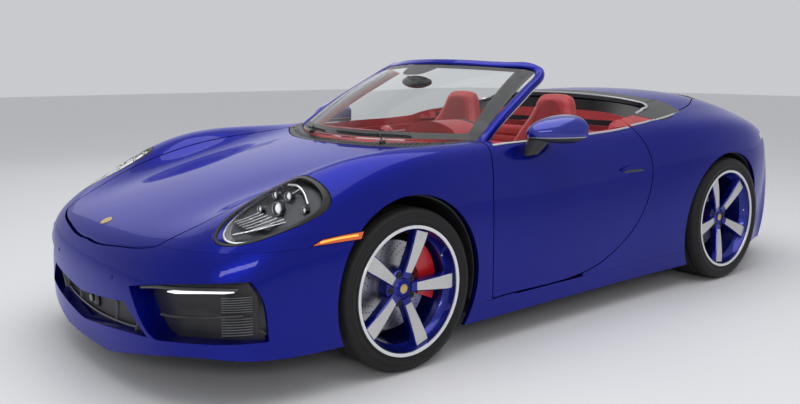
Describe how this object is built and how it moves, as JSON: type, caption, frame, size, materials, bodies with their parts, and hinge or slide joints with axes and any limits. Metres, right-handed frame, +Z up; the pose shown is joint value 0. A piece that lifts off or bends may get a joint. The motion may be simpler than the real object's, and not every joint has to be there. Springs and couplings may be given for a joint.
{
  "type": "convertible car",
  "caption": "Low two-seat-plus-two convertible car with its top stowed, opening doors and lids, steered front wheels and four rolling wheels.",
  "frame": {"origin": "on the floor under the middle of the car's box", "axes": "nose towards -Y, left side +X, +Z up"},
  "size_m": [2.0214, 4.519, 1.2842],
  "materials": {
    "body_paint": "deep metallic blue under clear coat",
    "black_trim": "fine grained black plastic",
    "lamp_lens": "clear lens over a dark housing",
    "tail_lens": "red lens",
    "clear_glass": "clear laminated glass",
    "structure": "dark coated steel",
    "red_leather": "smooth red leather with stitching",
    "dark_leather": "smooth black leather",
    "tyre_rubber": "black rubber",
    "wheel_metal": "machined faces with blue painted sides",
    "brake_steel": "drilled steel",
    "caliper_red": "red enamel",
    "engine_metal": "cast metal",
    "steel": "polished steel"
  },
  "bodies": {
    "body": {"front_bumper": "body_paint", "front_intakes": "black_trim", "front_lamps": "lamp_lens", "lamp_housings": "black_trim", "front_fenders": "body_paint", "rear_quarters": "body_paint", "side_sills": "body_paint", "rear_bumper": "body_paint", "tail_lamp": "tail_lens", "wiper_cowl": "black_trim", "deck_strip": "black_trim", "rear_side_trims": "red_leather", "windscreen_frame": "body_paint", "windscreen_glass": "clear_glass", "floor_pan": "structure", "bulkheads": "structure", "end_frames": "structure", "luggage_tub": "black_trim", "wheel_houses": "black_trim", "engine_block": "engine_metal", "dashboard": "red_leather", "centre_console": "red_leather", "front_seats": "red_leather", "rear_seats": "red_leather", "interior_mirror": "black_trim", "suspension": "structure", "exhaust": "steel"},
    "left_door": {"left_door": "body_paint", "left_door_trim": "red_leather", "left_door_mirror": "body_paint"},
    "right_door": {"right_door": "body_paint", "right_door_trim": "red_leather", "right_door_mirror": "body_paint"},
    "front_lid": {"front_lid": "body_paint"},
    "engine_lid": {"engine_lid": "body_paint"},
    "top_cover": {"top_cover": "body_paint", "cover_band": "black_trim"},
    "steering_wheel": {"steering_wheel": "dark_leather"},
    "left_front_knuckle": {"left_front_knuckle": "caliper_red"},
    "right_front_knuckle": {"right_front_knuckle": "caliper_red"},
    "left_front_wheel": {"left_front_tyre": "tyre_rubber", "left_front_rim": "wheel_metal", "left_front_brake_disc": "brake_steel"},
    "right_front_wheel": {"right_front_tyre": "tyre_rubber", "right_front_rim": "wheel_metal", "right_front_brake_disc": "brake_steel"},
    "left_rear_wheel": {"left_rear_tyre": "tyre_rubber", "left_rear_rim": "wheel_metal", "left_rear_brake_disc": "brake_steel"},
    "right_rear_wheel": {"right_rear_tyre": "tyre_rubber", "right_rear_rim": "wheel_metal", "right_rear_brake_disc": "brake_steel"}
  },
  "joints": [
    {"name": "left_door_hinge", "type": "hinge", "parent": "body", "child": "left_door", "pos_m": [0.87596, -0.694, 0.5], "axis": [0, 0, -1], "range_deg": [0, 65]},
    {"name": "right_door_hinge", "type": "hinge", "parent": "body", "child": "right_door", "pos_m": [-0.87596, -0.694, 0.5], "axis": [0, 0, 1], "range_deg": [0, 65]},
    {"name": "front_lid_hinge", "type": "hinge", "parent": "body", "child": "front_lid", "pos_m": [0, -0.757, 0.886], "axis": [-1, 0, 0], "range_deg": [0, 60]},
    {"name": "engine_lid_hinge", "type": "hinge", "parent": "body", "child": "engine_lid", "pos_m": [0, 1.50904, 1.066], "axis": [1, 0, 0], "range_deg": [0, 45]},
    {"name": "top_cover_hinge", "type": "hinge", "parent": "body", "child": "top_cover", "pos_m": [0, 1.50904, 1.066], "axis": [-1, 0, 0], "range_deg": [0, 50]},
    {"name": "left_steer", "type": "hinge", "parent": "body", "child": "left_front_knuckle", "pos_m": [0.722, -1.2245, 0.33975], "axis": [0, 0, 1], "range_deg": [-31, 31]},
    {"name": "right_steer", "type": "hinge", "parent": "body", "child": "right_front_knuckle", "pos_m": [-0.722, -1.2245, 0.33975], "axis": [0, 0, 1], "range_deg": [-31, 31]},
    {"name": "steering_wheel_turn", "type": "hinge", "parent": "body", "child": "steering_wheel", "pos_m": [0.372, -0.335, 0.8], "axis": [0, 0.9135, 0.4067], "range_deg": [-434, 434]},
    {"name": "left_front_roll", "type": "hinge", "parent": "left_front_knuckle", "child": "left_front_wheel", "pos_m": [0.788, -1.2245, 0.33975], "axis": [1, 0, 0], "continuous": true},
    {"name": "right_front_roll", "type": "hinge", "parent": "right_front_knuckle", "child": "right_front_wheel", "pos_m": [-0.788, -1.2245, 0.33975], "axis": [1, 0, 0], "continuous": true},
    {"name": "left_rear_roll", "type": "hinge", "parent": "body", "child": "left_rear_wheel", "pos_m": [0.768, 1.2255, 0.3582], "axis": [1, 0, 0], "continuous": true},
    {"name": "right_rear_roll", "type": "hinge", "parent": "body", "child": "right_rear_wheel", "pos_m": [-0.768, 1.2255, 0.3582], "axis": [1, 0, 0], "continuous": true}
  ],
  "couplings": [
    {"joint": "right_steer", "follows": "left_steer", "ratio": 1},
    {"joint": "steering_wheel_turn", "follows": "left_steer", "ratio": 14}
  ]
}
